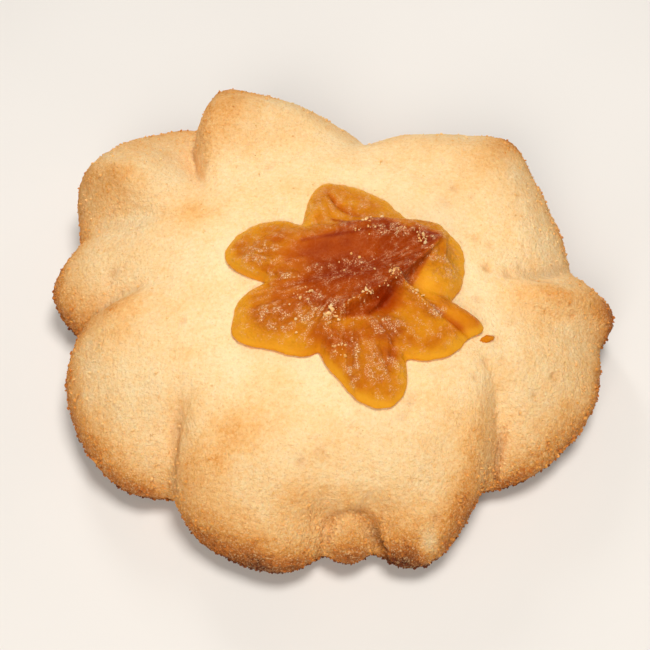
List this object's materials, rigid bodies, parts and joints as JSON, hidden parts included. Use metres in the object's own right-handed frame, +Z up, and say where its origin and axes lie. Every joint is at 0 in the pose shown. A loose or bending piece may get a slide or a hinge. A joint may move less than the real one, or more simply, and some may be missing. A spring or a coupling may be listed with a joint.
{
  "type": "shortbread biscuit",
  "caption": "Round piped shortbread biscuit with swept petals, topped with a folded star of fruit jam.",
  "frame": {"origin": "middle of the biscuit's outline, on the flat foot it stands on", "axes": "+Z up out of the jam, +X to the right and -Y towards the viewer as the biscuit is seen from the front"},
  "size_m": [0.0624, 0.0606, 0.0178],
  "materials": {
    "baked_dough": "dry baked shortbread, pale in the middle and browned on the crests, the rim and the foot",
    "fruit_jam": "set fruit jam, amber where thin and red-brown where thick, with a fine wrinkled skin"
  },
  "bodies": {
    "root": {"shortbread": "baked_dough", "jam_star": "fruit_jam"}
  },
  "joints": []
}
